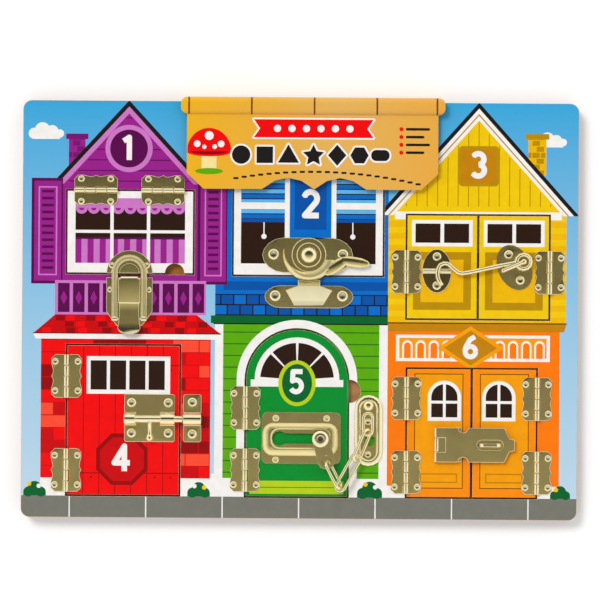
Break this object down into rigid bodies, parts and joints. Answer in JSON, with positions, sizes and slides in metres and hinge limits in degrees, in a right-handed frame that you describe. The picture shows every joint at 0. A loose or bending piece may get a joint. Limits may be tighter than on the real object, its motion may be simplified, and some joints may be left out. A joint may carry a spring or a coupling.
{
  "type": "latch board",
  "caption": "Flat wooden activity board with hinged doors and windows, each closed by a different brass latch, hook, bolt, chain or hasp.",
  "frame": {"origin": "centre of the board's flat back face, on which it lies", "axes": "+Z out of the printed front, +Y to the board's top edge, +X to its right edge"},
  "size_m": [0.4, 0.303, 0.0231],
  "materials": {
    "back_wood": "satin lacquered wood",
    "front_print": "satin printed wood",
    "purple_print": "satin printed wood",
    "blue_print": "satin printed wood",
    "yellow_print": "satin printed wood",
    "red_print": "satin printed wood",
    "green_print": "satin printed wood",
    "orange_print": "satin printed wood",
    "card": "matt coated card",
    "brass": "bright plated sheet"
  },
  "bodies": {
    "board": {"back_panel": "back_wood", "front_panel": "front_print", "window_1_hinge_1_frame_leaf": "brass", "window_1_hinge_2_frame_leaf": "brass", "window_2_hinge_frame_leaf": "brass", "door_3_left_hinge_frame_leaf": "brass", "door_3_right_hinge_frame_leaf": "brass", "door_4_hinge_1_frame_leaf": "brass", "door_4_hinge_2_frame_leaf": "brass", "door_5_hinge_1_frame_leaf": "brass", "door_5_hinge_2_frame_leaf": "brass", "door_6_left_hinge_1_frame_leaf": "brass", "door_6_left_hinge_2_frame_leaf": "brass", "door_6_right_hinge_1_frame_leaf": "brass", "door_6_right_hinge_2_frame_leaf": "brass", "draw_latch_base": "brass", "sash_keeper": "brass", "bolt_keeper": "brass", "chain_anchor": "brass"},
    "window_1": {"window_1_flap": "purple_print", "window_1_hinge_1_door_leaf": "brass", "window_1_hinge_2_door_leaf": "brass", "draw_catch_plate": "brass"},
    "window_2": {"window_2_flap": "blue_print", "window_2_hinge_door_leaf": "brass", "sash_base_plate": "brass"},
    "door_3_left": {"door_3_left": "yellow_print", "door_3_left_hinge_door_leaf": "brass", "eye_plate_left": "brass"},
    "door_3_right": {"door_3_right": "yellow_print", "door_3_right_hinge_door_leaf": "brass", "eye_plate_right": "brass"},
    "door_4": {"door_4": "red_print", "door_4_hinge_1_door_leaf": "brass", "door_4_hinge_2_door_leaf": "brass", "bolt_case": "brass"},
    "door_5": {"door_5": "green_print", "door_5_hinge_1_door_leaf": "brass", "door_5_hinge_2_door_leaf": "brass", "chain_track": "brass"},
    "door_6_left": {"door_6_left": "orange_print", "door_6_left_hinge_1_door_leaf": "brass", "door_6_left_hinge_2_door_leaf": "brass", "hasp_leaf": "brass"},
    "door_6_right": {"door_6_right": "orange_print", "door_6_right_hinge_1_door_leaf": "brass", "door_6_right_hinge_2_door_leaf": "brass", "hasp_staple": "brass"},
    "draw_lever": {"draw_latch_lever": "brass"},
    "draw_bail": {"draw_latch_bail": "brass"},
    "sash_cam": {"sash_cam": "brass"},
    "hook": {"door_hook": "brass"},
    "bolt": {"bolt_rod": "brass"},
    "hasp_strap": {"hasp_strap": "brass"},
    "slider": {"chain_slider": "brass"},
    "link_1": {"chain_link_1": "brass"},
    "link_2": {"chain_link_2": "brass"},
    "link_3": {"chain_link_3": "brass"},
    "link_4": {"chain_link_4": "brass"},
    "card": {"header_card": "card"}
  },
  "joints": [
    {"name": "window_1_swing", "type": "hinge", "parent": "board", "child": "window_1", "pos_m": [-0.12245, 0.0855, 0.01495], "axis": [-1, 0, 0], "range_deg": [0, 100]},
    {"name": "draw_lever_swing", "type": "hinge", "parent": "board", "child": "draw_lever", "pos_m": [-0.1227, 0.0216, 0.0164], "axis": [-1, 0, 0], "range_deg": [0, 150]},
    {"name": "draw_bail_swing", "type": "hinge", "parent": "draw_lever", "child": "draw_bail", "pos_m": [-0.1227, -0.007, 0.0159], "axis": [1, 0, 0], "range_deg": [0, 210]},
    {"name": "window_2_swing", "type": "hinge", "parent": "board", "child": "window_2", "pos_m": [0.0057, 0.1144, 0.01495], "axis": [-1, 0, 0], "range_deg": [0, 110]},
    {"name": "header_card_slide", "type": "slide", "parent": "board", "child": "card", "axis": [0, 1, 0], "range_m": [0, 0.14]},
    {"name": "sash_cam_turn", "type": "hinge", "parent": "window_2", "child": "sash_cam", "pos_m": [0.0062, 0.0398, 0.0167], "axis": [0, 0, 1], "range_deg": [0, 100]},
    {"name": "door_3_right_swing", "type": "hinge", "parent": "board", "child": "door_3_right", "pos_m": [0.1794, 0.0318, 0.01495], "axis": [0, 1, 0], "range_deg": [0, 110]},
    {"name": "door_3_left_swing", "type": "hinge", "parent": "board", "child": "door_3_left", "pos_m": [0.0764, 0.0318, 0.01495], "axis": [0, -1, 0], "range_deg": [0, 110]},
    {"name": "hook_swing", "type": "hinge", "parent": "door_3_right", "child": "hook", "pos_m": [0.1605, 0.036, 0.017], "axis": [0, 0, -1], "range_deg": [0, 110]},
    {"name": "door_4_swing", "type": "hinge", "parent": "board", "child": "door_4", "pos_m": [-0.1675, -0.0799, 0.01495], "axis": [0, -1, 0], "range_deg": [0, 110]},
    {"name": "bolt_slide", "type": "slide", "parent": "door_4", "child": "bolt", "axis": [-1, 0, 0], "range_m": [-0.006, 0.0078]},
    {"name": "door_5_swing", "type": "hinge", "parent": "board", "child": "door_5", "pos_m": [-0.0388, -0.074, 0.01495], "axis": [0, -1, 0], "range_deg": [0, 110]},
    {"name": "chain_slide", "type": "slide", "parent": "door_5", "child": "slider", "axis": [-1, 0, 0], "range_m": [0, 0.0294]},
    {"name": "link_1_swing", "type": "hinge", "parent": "slider", "child": "link_1", "pos_m": [0.0196, -0.1076, 0.0194], "axis": [0, 0, 1], "range_deg": [0, 37.7]},
    {"name": "link_2_swing", "type": "hinge", "parent": "link_1", "child": "link_2", "pos_m": [0.0294, -0.127, 0.0194], "axis": [0, 0, 1], "range_deg": [-50.8, 0]},
    {"name": "link_3_swing", "type": "hinge", "parent": "link_2", "child": "link_3", "pos_m": [0.0414, -0.1056, 0.0194], "axis": [0, 0, 1], "range_deg": [-9.8, 0]},
    {"name": "link_4_swing", "type": "hinge", "parent": "link_3", "child": "link_4", "pos_m": [0.0492, -0.0872, 0.0194], "axis": [0, 0, 1], "range_deg": [-12.9, 0]},
    {"name": "door_6_left_swing", "type": "hinge", "parent": "board", "child": "door_6_left", "pos_m": [0.077, -0.0877, 0.01495], "axis": [0, -1, 0], "range_deg": [0, 95]},
    {"name": "door_6_right_swing", "type": "hinge", "parent": "board", "child": "door_6_right", "pos_m": [0.1709, -0.0877, 0.01495], "axis": [0, 1, 0], "range_deg": [0, 95]},
    {"name": "hasp_strap_swing", "type": "hinge", "parent": "door_6_left", "child": "hasp_strap", "pos_m": [0.0989, -0.096, 0.01495], "axis": [0, -1, 0], "range_deg": [0, 105]}
  ],
  "couplings": [
    {"joint": "draw_lever_swing", "follows": "window_1_swing", "ratio": 1.5},
    {"joint": "draw_bail_swing", "follows": "window_1_swing", "ratio": 2.1},
    {"joint": "header_card_slide", "follows": "window_2_swing", "m_per_rad": 0.07},
    {"joint": "door_3_left_swing", "follows": "door_3_right_swing", "ratio": 1},
    {"joint": "link_1_swing", "follows": "chain_slide", "rad_per_m": 22.278},
    {"joint": "link_2_swing", "follows": "chain_slide", "rad_per_m": -30.061},
    {"joint": "link_3_swing", "follows": "chain_slide", "rad_per_m": -5.678},
    {"joint": "link_4_swing", "follows": "chain_slide", "rad_per_m": -7.532},
    {"joint": "door_6_right_swing", "follows": "door_6_left_swing", "ratio": 1}
  ]
}
